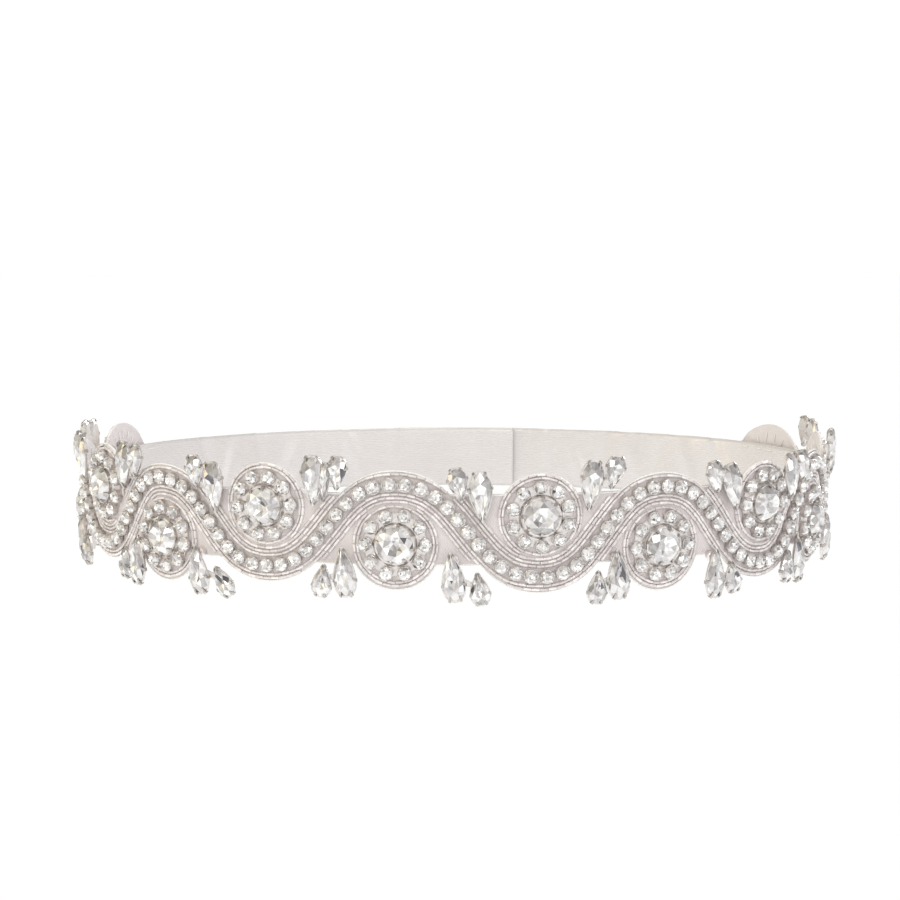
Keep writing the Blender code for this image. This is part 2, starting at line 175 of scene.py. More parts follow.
# Marks of the centre stones, by rosette: painted reflection and painted shade on their facets
CENTRE_MARKS = {
    3: ((30, INNER, SOFT), (210, INNER, WHITE)),
    4: ((225, INNER, WHITE), (180, OUTER, WHITE), (60, INNER, GREY), (350, OUTER, GREY)),
    5: ((300, OUTER, PALE), (45, INNER, GREY), (30, (HEART,), DEEP), (90, OUTER, SOFT), (225, INNER, WHITE)),
    6: ((300, OUTER, WHITE), (190, (TABLE,), GREY), (60, (HEART,), SOFT), (135, OUTER, WHITE),
        (225, OUTER, SOFT)),
    7: ((0, INNER, WHITE), (120, INNER, WHITE), (225, (TABLE,), GREY), (180, OUTER, GREY), (290, OUTER, SOFT),
        (60, OUTER, PALE), (60, (TABLE,), PALE)),
    8: ((315, INNER, SOFT), (300, OUTER, GREY), (150, INNER, WHITE), (60, INNER, WHITE), (30, OUTER, WHITE),
        (110, OUTER, WHITE), (180, OUTER, PALE)),
    9: ((0, INNER, GREY), (20, OUTER, GREY), (180, INNER, WHITE), (200, OUTER, WHITE)),
    10: ((45, INNER, SOFT), (225, INNER, WHITE)),
}


def ring_point(angle):
    """Point of the ribbon's inner face at an angle from the front, and the outward direction there."""
    x = WAIST_HALF_WIDTH * np.sin(angle)
    y = -WAIST_HALF_DEPTH * np.cos(angle)
    out_x = np.sin(angle) / WAIST_HALF_WIDTH
    out_y = -np.cos(angle) / WAIST_HALF_DEPTH
    size = np.hypot(out_x, out_y)
    return x, y, out_x / size, out_y / size


def ring_table():
    """Angles from the front, and the length along the net's face from the front to each of them."""
    angle = np.linspace(-math.pi * RING_TURNS, math.pi * RING_TURNS, RING_SAMPLES + 1)
    x, y, out_x, out_y = ring_point(angle)
    step = np.hypot(np.diff(x + NET_FRONT * out_x), np.diff(y + NET_FRONT * out_y))
    length = np.concatenate(([0.0], np.cumsum(step)))
    return angle, length - np.interp(0.0, angle, length)


RING_ANGLE, RING_LENGTH = ring_table()
ROUND_WAIST = 2.0 * float(np.interp(math.pi, RING_ANGLE, RING_LENGTH))


def wrap(points):
    """Carry flat points (along, up, out) in mm to their places round the waist, in metres."""
    points = np.asarray(points, float)
    x, y, out_x, out_y = ring_point(np.interp(points[:, 0], RING_LENGTH, RING_ANGLE))
    out = points[:, 2] + FLARE * points[:, 1]
    return np.column_stack((x + out * out_x, y + out * out_y, points[:, 1])) * MM


def band_ends():
    return ROSETTES[0].along - END_REACH, ROSETTES[-1].along + END_REACH


def chain_height(along):
    """Height of the chain's middle line, which passes under high rosettes and over low ones."""
    start, end = band_ends()
    turns = [(r.along, r.up - CHAIN_CLEARANCE if r.high else r.up + CHAIN_CLEARANCE) for r in ROSETTES]
    turns.insert(0, (2.0 * start - turns[0][0], -turns[0][1]))
    turns.append((2.0 * end - turns[-1][0], -turns[-1][1]))
    (x0, y0), (x1, y1) = next(pair for pair in zip(turns, turns[1:]) if along <= pair[1][0])
    phase = math.pi * (along - x0) / (x1 - x0)
    swing = (math.cos(phase) - CHAIN_FULLNESS * math.cos(3.0 * phase)) / (1.0 - CHAIN_FULLNESS)
    return 0.5 * (y0 + y1) + 0.5 * (y0 - y1) * swing


def net_edge(along, side):
    """Height of the net's top (side 1) or bottom (side -1) edge: scallops with notches between."""
    height = NOTCH_HEIGHT
    for rosette in ROSETTES:
        radius = SCALLOP_NEAR if rosette.high == (side > 0) else SCALLOP_FAR
        reach = radius ** 2 - (along - rosette.along) ** 2
        if reach > 0.0:
            height = max(height, side * rosette.up + math.sqrt(reach))
    start, end = band_ends()
    inside = min(along - start, end - along, END_ROUNDING) / END_ROUNDING
    rounding = math.sqrt(max(0.0, 1.0 - (1.0 - inside) ** 2))
    return side * height * (END_SHARE + (1.0 - END_SHARE) * rounding) - NET_DROP


def path_length(points):
    """Length along a line of flat points, up to each of them."""
    return np.concatenate(([0.0], np.cumsum(np.hypot(*np.diff(points, axis=0).T))))


def along_path(points, stops):
    """Points at these lengths along a line of flat points, and the line's direction there."""
    length = path_length(points)
    places = np.column_stack([np.interp(stops, length, points[:, i]) for i in (0, 1)])
    ahead = np.column_stack([np.interp(stops, length, np.gradient(points[:, i])) for i in (0, 1)])
    return places, ahead / np.hypot(*ahead.T)[:, None]


def chain_line():
    """The chain's middle line as closely spaced points, and its normals to the left."""
    xs = np.linspace(*band_ends(), PATH_STEPS + 1)
    line = np.column_stack((xs, [chain_height(x) for x in xs]))
    ahead = np.column_stack([np.gradient(line[:, i]) for i in (0, 1)])
    ahead /= np.hypot(*ahead.T)[:, None]
    return line, np.column_stack((-ahead[:, 1], ahead[:, 0]))


CHAIN_LINE, CHAIN_NORMAL = chain_line()


def tube_faces(rows, sides):
    """Quads between rows of points round a tube, and then the caps at its start and its end."""
    walls = [(i * sides + k, i * sides + (k + 1) % sides, (i + 1) * sides + (k + 1) % sides,
              (i + 1) * sides + k) for i in range(rows - 1) for k in range(sides)]
    return walls + [tuple(range(sides))[::-1], tuple((rows - 1) * sides + k for k in range(sides))]


BOX_FACES = ((3, 2, 1, 0), (4, 5, 6, 7), (0, 1, 5, 4), (1, 2, 6, 5), (2, 3, 7, 6), (3, 0, 4, 7))


def vary(spread):
    return CHANCE.uniform(-spread, spread)


def new_object(name, data):
    obj = bpy.data.objects.new(name, data)
    bpy.context.scene.collection.objects.link(obj)
    return obj


class Shape:
    """Flat points, faces and material slots that become one mesh."""

    def __init__(self):
        self.points = []
        self.faces = []
        self.slots = []
        self.smooth = []

    def add(self, points, faces, slots, smooth=False):
        start = sum(len(block) for block in self.points)
        self.points.append(np.asarray(points, float))
        self.faces += [tuple(start + i for i in face) for face in faces]
        self.slots += [slots] * len(faces) if isinstance(slots, int) else list(slots)
        self.smooth += [smooth] * len(faces)

    def piece(self, name, looks, replaced=()):
        """Wrap the shape on the waist as a piece that rides on the sash."""
        flat = np.concatenate(self.points)
        mesh = bpy.data.meshes.new(name)
        mesh.from_pydata([tuple(p) for p in wrap(flat)], [], self.faces)
        mesh.polygons.foreach_set("material_index", self.slots)
        mesh.polygons.foreach_set("use_smooth", self.smooth)
        layout = mesh.attributes.new("flat", "FLOAT_VECTOR", "POINT")
        layout.data.foreach_set("vector", flat.astype(np.float32).ravel())
        for look in looks:
            mesh.materials.append(look)
        mesh.validate()
        obj = new_object(name, mesh)
        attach(obj, "root")
        if replaced:
            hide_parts(*replaced)
        return obj


# ---- materials

class Graph:
    """Short ways to add nodes to a material."""

    def __init__(self, name):
        self.material = bpy.data.materials.new(name)
        self.material.use_nodes = True
        self.tree = self.material.node_tree
        self.shader = self.tree.nodes["Principled BSDF"]

    def node(self, kind, inputs=None, **settings):
        made = self.tree.nodes.new(kind)
        for name, value in settings.items():
            setattr(made, name, value)
        for key, value in (inputs or {}).items():
            self.feed(made.inputs[key], value)
        return made

    def feed(self, socket, value):
        if isinstance(value, bpy.types.NodeSocket):
            self.tree.links.new(value, socket)
        else:
            socket.default_value = value

    def maths(self, operation, a, b=0.0, clamp=False):
        return self.node("ShaderNodeMath", {0: a, 1: b}, operation=operation, use_clamp=clamp).outputs[0]

    def noise(self, place, scale, detail=2.0):
        inputs = {"Vector": place, "Scale": scale, "Detail": detail}
        return self.node("ShaderNodeTexNoise", inputs).outputs["Fac"]

    def ramp(self, value, stops, interpolation="LINEAR"):
        made = self.node("ShaderNodeValToRGB", {"Fac": value})
        made.color_ramp.interpolation = interpolation
        elements = made.color_ramp.elements
        while len(elements) < len(stops):
            elements.new(0.5)
        for element, (position, colour) in zip(elements, stops):
            element.position = position
            element.color = (*colour, 1.0)
        return made.outputs["Color"]

    def mix(self, share, a, b):
        made = self.node("ShaderNodeMix", data_type="RGBA")
        self.feed(made.inputs[0], share)
        self.feed(made.inputs[6], a if isinstance(a, bpy.types.NodeSocket) else (*a, 1.0))
        self.feed(made.inputs[7], b if isinstance(b, bpy.types.NodeSocket) else (*b, 1.0))
        return made.outputs[2]

    def bump(self, height, strength, distance_mm):
        inputs = {"Height": height, "Strength": strength, "Distance": distance_mm * MM}
        self.feed(self.shader.inputs["Normal"], self.node("ShaderNodeBump", inputs).outputs["Normal"])

    def set(self, **values):
        for name, value in values.items():
            self.feed(self.shader.inputs[name.replace("_", " ").title()], value)

    def flat(self):
        """The piece's flat layout in mm: the vector, and its x and y."""
        vector = self.node("ShaderNodeAttribute", attribute_name="flat").outputs["Vector"]
        parts = self.node("ShaderNodeSeparateXYZ", {0: vector})
        return vector, parts.outputs["X"], parts.outputs["Y"]

    def place(self):
        """Where a point is on the sash, in metres."""
        return self.node("ShaderNodeTexCoord").outputs["Object"]


def crystal(name, tone, tint):
    """A facet of foil-backed glass: mirror-like, with a tone that is painted reflection, broken into shards
    of painted reflection that stand in for what the far side throws back.
    """
    g = Graph(name)
    cells = g.node("ShaderNodeTexVoronoi", {"Vector": g.place(), "Scale": SHARDS}, distance="MANHATTAN")
    shade = g.node("ShaderNodeSeparateColor", {0: cells.outputs["Color"]}).outputs[0]
    colour = [tone * c for c in tint]
    # the shards: lighter and darker steps of the facet's tone at random, a painted reflection
    steps = (
        (0.0, [0.78 * c for c in colour]),
        (0.16, [0.91 * c for c in colour]),
        (0.42, colour),
        (0.76, [min(0.97, 1.07 * c + 0.03) for c in colour]),
    )
    g.set(base_color=g.ramp(shade, steps, "CONSTANT"), metallic=0.6, roughness=0.1)
    g.set(coat_weight=0.6, coat_roughness=0.03)
    return g.material


def metal(name, dull, rubbed):
    """Rhodium plate, dulled where it isn't rubbed."""
    g = Graph(name)
    wear = g.noise(g.place(), 1400.0, 3.0)
    g.set(base_color=g.ramp(wear, ((0.35, dull), (0.65, rubbed))), metallic=0.9, roughness=0.3)
    return g.material


def bead_glass(name, colour, dark):
    """Short silver-lined bugle bead: clear glass over a bright lining."""
    g = Graph(name)
    streak = g.noise(g.place(), 2200.0, 1.0)
    g.set(base_color=g.ramp(streak, ((0.38, dark), (0.6, colour))))
    g.set(metallic=0.1, roughness=0.3, coat_weight=0.7, coat_roughness=0.06)
    return g.material


def satin():
    """Pale satin: long floats that run along the ribbon, and a tight selvedge."""
    g = Graph("satin")
    vector, _, up = g.flat()
    stretched = g.node("ShaderNodeMapping", {"Vector": vector, "Scale": (0.45, 1.6, 1.0)}).outputs[0]
    wander = g.maths("MULTIPLY", g.noise(stretched, 1.0), 8.0)
    phase = g.maths("ADD", g.maths("MULTIPLY", up, 2.0 * math.pi / FLOAT_PITCH), wander)
    weave = g.maths("MULTIPLY", g.maths("ADD", g.maths("SINE", phase), 1.0), 0.5)
    cloud = g.noise(vector, 0.05)
    edge = g.maths("GREATER_THAN", g.maths("ABSOLUTE", up), 0.5 * RIBBON_WIDTH - SELVEDGE)
    dark = g.mix(cloud, (0.63, 0.60, 0.59), (0.70, 0.67, 0.66))
    light = g.mix(cloud, (0.70, 0.67, 0.66), (0.77, 0.74, 0.73))
    colour = g.mix(weave, dark, light)
    g.set(base_color=g.mix(g.maths("MULTIPLY", edge, 0.35), colour, (0.56, 0.53, 0.51)), metallic=0.2)
    g.set(roughness=g.maths("ADD", g.maths("MULTIPLY", weave, 0.1), 0.21))
    g.set(sheen_weight=0.35, sheen_roughness=0.35, anisotropic=0.5)
    g.bump(g.maths("ADD", g.maths("MULTIPLY", weave, 0.13), edge), 0.3, 0.06)
    return g.material


def net():
    """Soft blush net with a diamond mesh, which carries the stones and beads."""
    g = Graph("net")
    vector, along, up = g.flat()
    lines = []
    for slope in (NET_SLOPE, -NET_SLOPE):
        run = g.maths("MULTIPLY_ADD", up, slope)
        g.feed(run.node.inputs[2], along)
        wave = g.maths("ABSOLUTE", g.maths("SINE", g.maths("MULTIPLY", run, math.pi / NET_MESH)))
        lines.append(g.maths("SUBTRACT", 1.0, g.maths("DIVIDE", wave, 0.45), clamp=True))
    threads = g.maths("MAXIMUM", *lines)
    cloud = g.noise(vector, 0.11)
    holes = g.mix(cloud, (0.635, 0.58, 0.57), (0.705, 0.65, 0.64))
    g.set(base_color=g.mix(threads, holes, (0.81, 0.76, 0.755)), roughness=0.75)
    g.set(sheen_weight=0.2, sheen_roughness=0.5)
    g.bump(threads, 0.6, 0.12)
    return g.material


def thread_look():
    """Twisted white sewing thread."""
    g = Graph("thread")
    ply = g.noise(g.place(), 3000.0)
    g.set(base_color=g.ramp(ply, ((0.35, (0.72, 0.70, 0.67)), (0.65, (0.92, 0.91, 0.88)))), roughness=0.6)
    g.bump(ply, 0.4, 0.08)
    return g.material


# ---- stones

# How a stone is cut and set: the cup's rim level, points, wall and back (as shares of the outline), the
# levels of its girdle and table, its facets round, the table as a share, how deep its far side shows,
# and its claws: levels, width, reach over the crown, slot and turns
Setting = namedtuple("Setting", "rim rim_points wall back girdle top sides table deep "
                     "claw_low claw_top claw_width claw_reach claw_slot claw_turns")
SMALL_SETTING = Setting(1.45, 12, 0.05, 0.9, 1.55, 2.55, 6, 0.52, 0.55, 1.45, 2.55, 0.62, 0.16, METAL,
                        [math.pi * (0.25 + 0.5 * k) for k in range(4)])
CENTRE_SETTING = Setting(1.75, 32, 0.06, 0.9, 1.85, 3.75, 8, 0.58, 1.5, 1.8, 3.7, 0.9, 0.12, CLAW,
                         [math.pi * (0.125 + 0.25 * k) for k in range(8)])
PEAR_SETTING = Setting(0.95, 32, 0.05, 0.86, 1.0, 2.45, 8, 0.55, 1.0, 0.95, 2.4, 0.8, 0.16, CLAW,
                       (0.55, 1.9, 2.75, 3.53, 4.38, 5.73))


def circle(radius):
    """A round outline: a point for a turn from the bottom, and a share of the way out."""
    def outline(turn, share=1.0):
        return share * radius * math.sin(turn), -share * radius * math.cos(turn)
    return outline


def pear(length, width):
    """A pear outline. Its pointed end, at turn 0, is down."""
    def outline(turn, share=1.0):
        return (0.5 * share * width * math.sin(turn) * math.sin(0.5 * turn) / PEAR_WIDEST,
                -0.5 * share * length * math.cos(turn))
    return outline


def facets(shape, outline, how, put, tones, marks):
    """The cut front of a stone: crown facets round a table, through which its far side shows. Each facet's
    tone is painted reflection, at random or as marked.
    """
    sides = how.sides
    step = 2.0 * math.pi / sides
    rings = (
        [(*outline(k * step / 2.0), how.girdle) for k in range(2 * sides)],
        [(*outline((k + 0.5) * step, 0.5 * (1.0 + how.table) + 0.03),
          how.girdle + 0.62 * (how.top - how.girdle)) for k in range(sides)],
        [(*outline(k * step, how.table), how.top) for k in range(sides)],
        [(*outline((k + 0.5) * step, 0.5 * how.table), how.top - 0.7 * how.deep) for k in range(sides)],
        [(0.0, outline(math.pi, 0.12)[1], how.top - how.deep)],
    )
    rim, crown, table, inner, heart = np.cumsum([0] + [len(ring) for ring in rings[:-1]])
    faces = []
    kinds = []
    for k in range(sides):
        after = (k + 1) % sides
        before = (k - 1) % sides
        faces += [
            (rim + 2 * k, rim + 2 * k + 1, crown + k),
            (rim + 2 * k + 1, rim + (2 * k + 2) % (2 * sides), crown + k),
            (rim + 2 * k, crown + k, table + k, crown + before),
            (table + k, crown + k, table + after),
            (table + k, table + after, inner + k),
            (table + k, inner + k, inner + before),
            (inner + before, inner + k, heart),
        ]
        kinds += [GIRDLE, GIRDLE, CROWN, CROWN, TABLE, TABLE, HEART]
    points = np.array([put(p) for ring in rings for p in ring])
    slots = [WHITE + int(CHANCE.choice(5, p=tones[kind])) for kind in kinds]
    middle = points.mean(axis=0)
    for i, (face, kind) in enumerate(zip(faces, kinds)):
        off = points[list(face)].mean(axis=0) - middle
        heading = math.degrees(math.atan2(off[0], off[1]))
        for towards, marked, slot in marks:
            if kind in marked and abs((heading - towards + 180.0) % 360.0 - 180.0) < MARK_REACH:
                slots[i] = slot
    shape.add(points, faces, slots)


def cup(shape, outline, how, put):
    """The metal cup round a stone: a flared wall, a narrow rim over the girdle and a flat back."""
    levels = ((how.back, 0.0), (1.0 + how.wall, 0.55 * how.rim), (1.0 + how.wall, how.rim + 0.12),
              (0.97, how.rim + 0.16), (0.95, how.rim - 0.1))
    sides = how.rim_points
    points = [put((*outline(2.0 * math.pi * k / sides, share), up)) for share, up in levels
              for k in range(sides)]
    shape.add(points, tube_faces(len(levels), sides)[:-1], METAL)


def claws(shape, outline, how, put):
    """Claws bent over the girdle on to the crown."""
    low = how.claw_low
    rise = how.claw_top - low
    path = ((1.06, 0.15 * low, 1.0), (1.10, low + 0.1, 1.0), (1.02, low + 0.34 * rise + 0.2, 0.95),
            (1.0 - how.claw_reach, low + 0.62 * rise + 0.16, 0.6))
    for turn in how.claw_turns:
        inward = Vector(outline(turn)).normalized() * -0.32
        ahead = Vector(outline(turn + 0.05)) - Vector(outline(turn - 0.05))
        ahead.normalize()
        points = []
        for share, up, narrow in path:
            middle = Vector(outline(turn, share))
            half = 0.5 * how.claw_width * narrow
            for side, deep in ((-1.0, 0.0), (1.0, 0.0), (1.0, 1.0), (-1.0, 1.0)):
                spot = middle + ahead * side * half + inward * deep
                points.append(put((spot.x, spot.y, up - 0.14 * deep)))
        shape.add(points, tube_faces(len(path), 4), how.claw_slot)


def set_stone(shape, outline, how, put, tones, marks=()):
    cup(shape, outline, how, put)
    facets(shape, outline, how, put, tones, marks)
    claws(shape, outline, how, put)


def placer(along, up, seat, turned=0.0, tilt=0.0, tilt_way=0.0):
    """Carries a stone's own points to its place on the flat band."""
    move = (Matrix.Translation((along, up, seat)) @ Matrix.Rotation(tilt, 4, (math.cos(tilt_way),
            math.sin(tilt_way), 0.0)) @ Matrix.Rotation(turned, 4, "Z"))
    return lambda point: tuple(move @ Vector(point))


def tilted_placer(along, up, seat, turned, most_tilt):
    tilt, way = CHANCE.uniform(0.0, most_tilt), CHANCE.uniform(0.0, 2.0 * math.pi)
    return placer(along, up, seat, turned, tilt, way)


# Shares of white, pale, soft, grey and deep facets, by the kind of facet: painted reflection, drawn at random
SMALL_TONES = ((0.2, 0.35, 0.28, 0.15, 0.02), (0.5, 0.25, 0.15, 0.09, 0.01), (0.6, 0.18, 0.12, 0.09, 0.01),
               (0.64, 0.18, 0.1, 0.07, 0.01))
LARGE_TONES = ((0.2, 0.4, 0.28, 0.115, 0.005), (0.32, 0.35, 0.22, 0.105, 0.005), (0.38, 0.3, 0.2, 0.11, 0.01),
               (0.36, 0.3, 0.2, 0.13, 0.01))
# Darker shares for the pears at the bottom edge: painted shade
BOTTOM_EDGE_SHADE_TONES = ((0.08, 0.27, 0.40, 0.23, 0.02), (0.12, 0.30, 0.35, 0.21, 0.02), (0.16, 0.30, 0.33, 0.18, 0.03),
             (0.20, 0.30, 0.30, 0.17, 0.03))


def small_stone(shape, along, up, radius, turned):
    put = tilted_placer(along, up, STONE_SEAT, turned, 0.09)
    set_stone(shape, circle(radius), SMALL_SETTING, put, SMALL_TONES)


def rosette_piece(number, rosette):
    """A large round stone in claws with a ring of small ones, on one plate."""
    shape = Shape()
    place = placer(rosette.along, rosette.up, 0.0)
    spin = CHANCE.uniform(0.0, 2.0 * math.pi)
    # the plate's edge follows its stones
    sides = 6 * RING_STONES
    back, face, collar = 2.34, 2.75, 3.5
    collar_foot, collar_top = CENTRE_STONE + 1.05, CENTRE_STONE + 0.5
    points = []
    for k in range(sides):
        turn = 2.0 * math.pi * k / sides
        reach = PLATE_EDGE + PLATE_WAVE * math.cos(RING_STONES * (turn - spin))
        points += [place((r * math.cos(turn), r * math.sin(turn), level)) for r, level in
                   ((reach, back), (reach, face), (collar_foot, face), (collar_top, collar))]
    points += [place((0.0, 0.0, back)), place((0.0, 0.0, collar))]
    faces = []
    for k in range(sides):
        a, b = 4 * k, 4 * ((k + 1) % sides)
        faces += [(a + i, b + i, b + i + 1, a + i + 1) for i in range(3)]
        faces += [(4 * sides + 1, a + 3, b + 3), (4 * sides, b, a)]
    shape.add(points, faces, PLATE)
    for k in range(RING_STONES):
        turn = spin + 2.0 * math.pi * k / RING_STONES
        out = RING_MIDDLE + vary(0.12)
        small_stone(shape, rosette.along + out * math.cos(turn), rosette.up + out * math.sin(turn),
                    RING_STONE * CHANCE.uniform(*SIZE_SPREAD), CHANCE.uniform(0.0, math.pi))
    put = placer(rosette.along, rosette.up, CENTRE_SEAT, CHANCE.uniform(0.0, math.pi / 4.0))
    set_stone(shape, circle(CENTRE_STONE), CENTRE_SETTING, put, LARGE_TONES, CENTRE_MARKS.get(number, ()))
    name = f"rosette_{number:02d}"
    return shape.piece(name + "_stones", STONE_LOOKS, [name])


def chain_piece():
    """The chain of small stones, each in its cup, joined by links."""
    shape = Shape()
    total = path_length(CHAIN_LINE)[-1]
    count = round(total / CHAIN_PITCH)
    stops = (np.arange(count) + 0.5) * total / count
    places, ahead = along_path(CHAIN_LINE, stops)
    for (x, y), (ax, ay) in zip(places, ahead):
        small_stone(shape, x, y, CHAIN_STONE * CHANCE.uniform(*SIZE_SPREAD), math.atan2(ay, ax) + vary(0.2))
    length, width, thickness = LINK_HALVES
    for (x0, y0), (x1, y1) in zip(places, places[1:]):
        put = placer(0.5 * (x0 + x1), 0.5 * (y0 + y1), LINK_LEVEL, math.atan2(y1 - y0, x1 - x0))
        box = [put((sx * length, sy * width, sz * thickness)) for sz in (-1, 1) for sx, sy in
               ((-1, -1), (1, -1), (1, 1), (-1, 1))]
        shape.add(box, BOX_FACES, METAL)
    return shape.piece("chain_stones", STONE_LOOKS, ["stone_chain"])


def pear_in_setting(shape, size, along, up, turned, tones, marks=()):
    put = tilted_placer(along, up, PEAR_SEAT, turned, 0.06)
    set_stone(shape, pear(*size), PEAR_SETTING, put, tones, marks)


def post(shape, middle, radius, low, high):
    """A round metal post with a bevelled top."""
    levels = ((1.0, low), (1.0, high - 0.25), (0.84, high))
    sides = 16
    points = [(middle[0] + share * radius * math.cos(2.0 * math.pi * k / sides),
               middle[1] + share * radius * math.sin(2.0 * math.pi * k / sides), up)
              for share, up in levels for k in range(sides)]
    shape.add(points, tube_faces(len(levels), sides), PLATE)


def bar(shape, start, end, width, low, high):
    """A flat metal bar between two flat points."""
    start, end = Vector(start), Vector(end)
    run = end - start
    across = Vector((-run.y, run.x)).normalized() * 0.5 * width
    corners = (start - across, end - across, end + across, start + across)
    shape.add([(c.x, c.y, level) for level in (low, high) for c in corners], BOX_FACES, METAL)


def cluster_piece(number, notch, edge, middle, toward):
    """The pears in one notch, tied together, on a foot that stands on the net."""
    row = next((c for c in CLUSTERS if (c.notch, c.edge) == (notch, edge)), PLAIN_CLUSTER)
    side = 1 if edge == "top" else -1

    def place(near, up):
        return middle + toward * near, side * up

    def turned(lean):
        return (0.0 if edge == "top" else math.pi) + math.radians(side * toward * lean)

    shape = Shape()
    large = place(row.large_near, row.large_up)
    small = place(-row.small_far, row.small_up)
    large_marks, small_marks = FACET_MARKS.get((notch, edge), PLAIN_MARKS[edge])
    # the pears at the bottom edge take darker facets: painted shade
    tones = LARGE_TONES if edge == "top" else BOTTOM_EDGE_SHADE_TONES
    pear_in_setting(shape, LARGE_PEAR, *large, turned(row.large_lean), tones, large_marks)
    pear_in_setting(shape, SMALL_PEAR, *small, turned(row.small_lean), tones, small_marks)
    if (notch, edge) == SLIM_STONE_PLACE:
        slim = place(SLIM_STONE_NEAR, SLIM_STONE_UP)
        pear_in_setting(shape, SLIM_PEAR, *slim, turned(SLIM_STONE_LEAN), tones)
    bar(shape, large, small, TIE_WIDTH, PEAR_SEAT - 0.05, PEAR_SEAT + 0.5)
    inset = min(FOOT_INSET, row.large_up - FOOT_LEAST_UP)
    lean = math.radians(row.large_lean)
    foot_near = min(max(row.large_near + inset * math.sin(lean), FOOT_NEAR[0]), FOOT_NEAR[1])
    foot = place(foot_near, row.large_up - inset * math.cos(lean))
    post(shape, foot, FOOT_RADIUS, NET_FRONT + 0.05, PEAR_SEAT + 0.1)
    name = f"cluster_{edge}_{number:02d}"
    return shape.piece(name + "_stones", STONE_LOOKS, [name])


def cluster_pieces():
    """Two clusters in each notch. Notch 0 is the one nearest the middle of the front."""
    notches = list(zip(ROSETTES, ROSETTES[1:]))
    middles = [0.5 * (before.along + after.along) for before, after in notches]
    nearest = min(range(len(middles)), key=lambda i: abs(middles[i]))
    made = []
    for i, (before, after) in enumerate(notches):
        for edge in ("top", "bottom"):
            toward = 1 if after.high == (edge == "top") else -1
            made.append(cluster_piece(i + 1, i - nearest, edge, middles[i], toward))
    return made


# ---- beads

def bead_row(line):
    """Places and directions of beads threaded along a line of flat points."""
    total = path_length(line)[-1]
    count = max(1, int(total / BEAD_PITCH))
    stops = (np.arange(count) + 0.5) * total / count
    return along_path(line, stops)


def on_net(places, margin):
    """Which places are on the net and this far inside its top and bottom edges."""
    start, end = band_ends()
    along, up = places.T
    tops = np.array([net_edge(x, 1) for x in along])
    bottoms = np.array([net_edge(x, -1) for x in along])
    return ((up < tops - margin) & (up > bottoms + margin) & (along > start + BEAD_PITCH)
            & (along < end - BEAD_PITCH))


def clear_of_rosettes(places, radius):
    clear = np.ones(len(places), bool)
    for rosette in ROSETTES:
        clear &= np.hypot(places[:, 0] - rosette.along, places[:, 1] - rosette.up) > radius
    return clear


def chain_distance(places):
    """How far each place is from the chain's middle line."""
    near = np.searchsorted(CHAIN_LINE[:, 0], places[:, 0])
    return np.array([np.hypot(*(CHAIN_LINE[max(0, n - CHAIN_WINDOW):n + CHAIN_WINDOW] - p).T).min()
                     for n, p in zip(near, places)])


def beads_piece(name, rows):
    """Short bugle beads along rows of (places, directions), as one mesh."""
    places = np.concatenate([row[0] for row in rows])
    ahead = np.concatenate([row[1] for row in rows])
    count = len(places)
    sides = 8
    # a bead's profile: distance along its hole and radius, as shares
    profile = ((-0.5, 0.68), (-0.43, 0.98), (0.43, 0.98), (0.5, 0.68))
    turns = 2.0 * np.pi * np.arange(sides) / sides
    template = np.array([(along, radius * math.cos(t), radius * math.sin(t))
                         for along, radius in profile for t in turns])
    length = BEAD_PITCH * CHANCE.uniform(0.97, 1.01, count)
    radius = BEAD_RADIUS * CHANCE.uniform(0.92, 1.06, count)
    sway = CHANCE.normal(0.0, 0.035, (count, 2))
    across = np.column_stack((-ahead[:, 1], ahead[:, 0]))
    lift = BEAD_LEVEL + CHANCE.uniform(-0.05, 0.08, count)
    flat = (places[:, None, :] + sway[:, None, :]
            + template[None, :, 0:1] * length[:, None, None] * ahead[:, None, :]
            + template[None, :, 1:2] * radius[:, None, None] * across[:, None, :])
    up = lift[:, None] + template[None, :, 2] * radius[:, None]
    points = np.concatenate((flat, up[:, :, None]), axis=2).reshape(-1, 3)
    faces = tube_faces(len(profile), sides)
    all_faces = [tuple(int(o) + i for i in face) for o in np.arange(count) * len(template) for face in faces]
    shades = CHANCE.choice(len(BEAD_SHARES), count, p=BEAD_SHARES)
    shape = Shape()
    shape.add(points, all_faces, np.repeat(shades, len(faces)).tolist(), smooth=True)
    return shape.piece(name, BEAD_LOOKS)


def bead_pieces():
    """Rows on both sides of the chain, and arcs round the rosettes where the chain leaves room."""
    above, below, arcs = [], [], []
    for offset in CHAIN_ROWS:
        for side, rows in ((1.0, above), (-1.0, below)):
            places, ahead = bead_row(CHAIN_LINE + side * offset * CHAIN_NORMAL)
            keep = on_net(places, 0.5) & clear_of_rosettes(places, ARC_ROWS[0] + 0.95)
            rows.append((places[keep], ahead[keep]))
    turns = np.linspace(0.0, 2.0 * math.pi, 181)
    for rosette in ROSETTES:
        for radius in ARC_ROWS:
            places, ahead = bead_row(np.column_stack((rosette.along + radius * np.cos(turns),
                                                      rosette.up + radius * np.sin(turns))))
            keep = on_net(places, 0.35) & (chain_distance(places) > CHAIN_ROWS[-1] + 0.9)
            arcs.append((places[keep], ahead[keep]))
    return [beads_piece("beads_above_chain", above), beads_piece("beads_below_chain", below),
            beads_piece("beads_round_rosettes", arcs)]


# ---- cloth and thread

